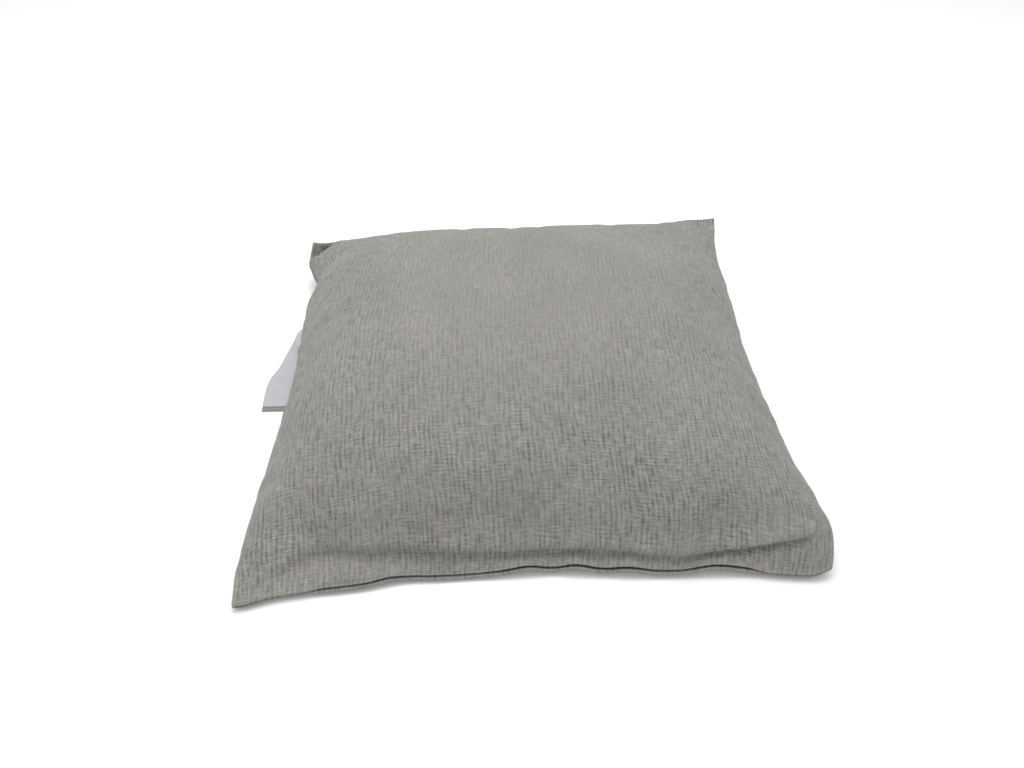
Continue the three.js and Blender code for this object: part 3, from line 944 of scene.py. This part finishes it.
def panel_profile(side):
    """The panel's rings, from the lip's crest to the hem's edge, and how far over the cloth they are."""
    up = np.array([0.0, 0.0, float(side)])
    centre = lip_centre(side)
    rings = [centre + LIP_RADIUS * (seam_out * cos(radians(a)) + up * sin(radians(a))) for a in LIP_ANGLES]
    inner = rings[-1]
    for sewn, zipped in zip(HEM_STEPS, ZIP_HEM_STEPS):
        flat = inside_cover(inner - seam_out * sewn, side)
        on_tape = inner.copy()
        on_tape[:, 1] += (tape_high[1, 1] - TAPE_EDGE - inner[:, 1]) * zipped
        drop = hem_height(bodies[side], on_tape[:, 1], side) - inner[:, 2]
        on_tape[:, 2] += drop * min(1.0, zipped * HEM_DROP)
        rings.append(flat + (on_tape - flat) * ring_zip[:, None])
    lip_step = LIP_RADIUS * radians(LIP_ANGLES[0] - LIP_ANGLES[1])
    return rings, np.cumsum([lip_step] * len(LIP_ANGLES) + [HEM_RUN] * len(HEM_STEPS))


def cover_panel(name, side, node):
    """A panel of the cover: its surface, the rounded lip at the seam and the hem turned in behind it."""
    points, uv = [flatten(bodies[side])], [cloth_uv()]
    faces = grid_faces(COUNT, COUNT, flip=side < 0)
    previous, start = RING, GRID_POINTS
    uv_out = seam_out[:, :2] * MM
    for ring, run in zip(*panel_profile(side)):
        points.append(ring)
        uv.append(uv[0][RING] + uv_out * run)
        these = start + np.arange(len(RING))
        for corners in zip(previous, these, np.roll(these, -1), np.roll(previous, -1)):
            faces.append(tuple(int(k) for k in corners)[::side])
        previous, start = these, start + len(RING)
    panel = new_object(name, np.vstack(points), faces, LINEN, np.vstack(uv))
    add_subdivision(panel)
    add_solidify(panel, CLOTH_THICKNESS, -1.0)
    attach(panel, "cushion")
    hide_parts(node)
    return panel


cover_top = cover_panel("cover_top", 1, "cover_top_panel")
cover_bottom = cover_panel("cover_bottom", -1, "cover_bottom_panel")

# ---- Threads ----------------------------------------------------------------------------------------

STITCH_PITCH = 3.2
STITCH_LENGTH = 2.3
STITCH_RADIUS = 0.26
STITCH_SIDES = 6
STITCH_TAPER = (0.45, 0.9, 1.0, 0.9, 0.45)  # the radius along a stitch, as shares of the full one
STITCH_INSET = 0.75     # how deep a seam's thread lies in its groove, in lip radii
FRONT_SEWN = (-236, 240)    # the front seam is sewn on the far side of each of these
TAPE_STITCH_IN = 1.8    # from the tape's back edge to its stitching
TAPE_STITCH_OUT = 0.9   # from the tape's face to its stitching


def tubes(paths, radii):
    """Points and faces of closed tubes along the paths, with the radius given at each point of a path."""
    points, faces = [], []
    for path in paths:
        path = np.asarray(path, float)
        heading = np.gradient(path, axis=0)
        heading /= np.linalg.norm(heading, axis=1)[:, None]
        side = np.cross(heading, (0.0, 0.0, 1.0))
        flat = np.linalg.norm(side, axis=1) < 1e-3
        side[flat] = (1.0, 0.0, 0.0)
        side /= np.linalg.norm(side, axis=1)[:, None]
        upright = np.cross(side, heading)
        start = len(points)
        for radius, p, a, b in zip(radii, path, side, upright):
            for j in range(STITCH_SIDES):
                turn = 2 * pi * j / STITCH_SIDES
                points.append(p + radius * (a * cos(turn) + b * sin(turn)))
        for k in range(len(path) - 1):
            for j in range(STITCH_SIDES):
                a, b = start + k * STITCH_SIDES + j, start + k * STITCH_SIDES + (j + 1) % STITCH_SIDES
                faces.append((a, b, b + STITCH_SIDES, a + STITCH_SIDES))
        faces.append(tuple(range(start + STITCH_SIDES - 1, start - 1, -1)))
        end = start + (len(path) - 1) * STITCH_SIDES
        faces.append(tuple(range(end, end + STITCH_SIDES)))
    return points, faces


def stitches(line):
    """Short paths of a thread that dips in and out along a line."""
    run = run_along(line)
    paths = []
    for start in np.arange(0, run[-1] - STITCH_LENGTH, STITCH_PITCH):
        stops = start + np.linspace(0, STITCH_LENGTH, len(STITCH_TAPER))
        paths.append(np.stack([np.interp(stops, run, line[:, k]) for k in range(3)], axis=1))
    return paths


def thread_piece(name, line, node):
    points, faces = tubes(stitches(line), STITCH_RADIUS * np.array(STITCH_TAPER))
    piece = new_object(name, points, faces, THREAD)
    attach(piece, "cushion")
    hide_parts(node)


def make_threads():
    groove = seam_loop - seam_out * (LIP_RADIUS * STITCH_INSET)
    front, right, back, left = (groove[side][1:-1] for side in SIDE_RINGS)
    runs = {
        "left": left,
        "right": right,
        "back": back,
        "front_left": front[front[:, 0] < FRONT_SEWN[0]],
        "front_right": front[front[:, 0] > FRONT_SEWN[1]],
    }
    for place, line in runs.items():
        thread_piece(f"stitching_{place}", line, f"seam_thread_{place}")
    for level, face, out in (("lower", tape_low[0, 2], -1), ("upper", tape_high[1, 2], 1)):
        low, high = tape_low if level == "lower" else tape_high
        y, z = high[1] - TAPE_STITCH_IN, face + out * TAPE_STITCH_OUT
        line = np.array([(low[0] + 1.0, y, z), (high[0] - 1.0, y, z)])
        thread_piece(f"zip_stitching_{level}", line, f"zip_stitch_{level}")


make_threads()

# ---- The insert -------------------------------------------------------------------------------------

INSERT_SCALE = 0.91     # of the insert's outline to the cover's
INSERT_CLEARANCE = 3.4  # between it and each of the cover's panels
LEAST_HALF = 0.2        # and its least half thickness
INSERT_ROUNDING = 8     # the higher, the nearer to its seam the insert rounds off


def sample(grid, rows, cols):
    """Bilinear samples of a grid at fractional rows and columns."""
    r0, c0 = np.clip(rows.astype(int), 0, COUNT - 2), np.clip(cols.astype(int), 0, COUNT - 2)
    fr, fc = (rows - r0)[..., None], (cols - c0)[..., None]
    return (
        grid[r0, c0] * (1 - fr) * (1 - fc)
        + grid[r0 + 1, c0] * fr * (1 - fc)
        + grid[r0, c0 + 1] * (1 - fr) * fc
        + grid[r0 + 1, c0 + 1] * fr * fc
    )


def make_insert():
    places = np.interp(lines * INSERT_SCALE, lines, np.arange(COUNT))
    rows, cols = np.meshgrid(places, places, indexing="ij")
    above, below = sample(top, rows, cols), sample(bottom, rows, cols)
    half = np.maximum((above[..., 2] - below[..., 2]) / 2 - INSERT_CLEARANCE, LEAST_HALF)
    s, t = lines[None, :], lines[:, None]
    half = half * np.sqrt(1 - s**INSERT_ROUNDING) * np.sqrt(1 - t**INSERT_ROUNDING)
    lift = np.stack([0 * half, 0 * half, half], axis=2)
    middle = (above + below) / 2
    points = np.vstack([flatten(middle + lift), flatten(middle - lift)])
    used, faces = sewn_grids()
    pad = new_object("insert_pad", points[used], faces, CASING, np.vstack([cloth_uv()] * 2)[used])
    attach(pad, "cushion")
    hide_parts("insert_casing_top", "insert_casing_bottom", "insert_filling", "insert_seam_thread")


make_insert()

# ---- The care label ---------------------------------------------------------------------------------

# The label's two long borders, from the seam to the free end. It drops out of the seam, turns on the floor
# and runs forward along the cushion.
LABEL_OUTER = [
    (-284, 112, 30),
    (-293, 112, 25),
    (-301, 108, 12),
    (-311, 84, 3.5),
    (-317, 60, 2),
    (-323, 45, 2),
    (-326, 18, 2),
    (-325, -11, 1.6),
]
LABEL_INNER = [
    (-284, 79, 28.5),
    (-289.5, 79, 24),
    (-291, 76, 12),
    (-290, 60, 4),
    (-290, 40, 2.2),
    (-291, 20, 2),
    (-292, 0, 1.8),
    (-292, -11, 1.6),
]
LABEL_WIDTH = 33.0
LABEL_STEPS = 28
LABEL_COLUMNS = 8
LABEL_THICKNESS = 0.35
CURVE_STEPS = 400       # for measuring a border's length

# piece, finish, slot, height above the borders, how far it sticks out past the borders' end, CAD node
LEAVES = (
    ("label_front", LABEL_WHITE, "label_white", 0.3, 0.0, "care_label_front_leaf"),
    # the back leaf sticks out past the white one; its grey colour is painted shade under that leaf's end
    ("label_back", LABEL_SHADED_BACK, "label_grey", -0.35, 7.0, "care_label_back_leaf"),
)


def along(points, count):
    """Points evenly spaced along a smooth curve, and the curve's length."""
    points = np.array(points, float)
    keys = run_along(points)
    keyed = np.column_stack([points, keys])
    fine = through(keyed, 3, np.linspace(0, keys[-1], CURVE_STEPS))[:, :3]
    run = run_along(fine)
    stops = np.linspace(0, run[-1], count)
    return np.stack([np.interp(stops, run, fine[:, k]) for k in range(3)], axis=1), run[-1]


def make_label(name, finish, slot, level, extra, node):
    outer, total = along(LABEL_OUTER, LABEL_STEPS + 1)
    inner, _ = along(LABEL_INNER, LABEL_STEPS + 1)
    stops = np.linspace(0, total, LABEL_STEPS + 1)
    if extra:
        step = np.array([(0, -extra / 2, 0), (0, -extra, 0)])
        outer, inner = np.vstack([outer, outer[-1] + step]), np.vstack([inner, inner[-1] + step])
        stops = np.append(stops, [total + extra / 2, total + extra])
    w = np.linspace(0, 1, LABEL_COLUMNS)[None, :, None]
    points = outer[:, None] * (1 - w) + inner[:, None] * w
    points[..., 2] += level
    uv = np.stack(np.meshgrid(w.ravel() * LABEL_WIDTH * MM, stops * MM), axis=2)
    faces = grid_faces(len(stops), LABEL_COLUMNS)
    label = new_object(name, flatten(points), faces, finish, uv.reshape(-1, 2))
    add_subdivision(label)
    add_solidify(label, LABEL_THICKNESS, 0.0)
    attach(label, "cushion")
    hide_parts(node)


for leaf in LEAVES:
    make_label(*leaf)

# ---- Finishes of the zip and of the threads that the CAD model holds --------------------------------

NODE_FINISHES = (       # the first whose start fits a node's name is its finish
    ("zip_tape", TAPE),
    ("zip_coil", COIL),
    ("zip_stitch", THREAD),
    ("seam_thread", THREAD),
    ("zip", METAL),
)
for name, thing in nodes.items():
    finish = next((finish for start, finish in NODE_FINISHES if name.startswith(start)), None)
    if finish:
        for material_slot in thing.material_slots:
            material_slot.material = finish
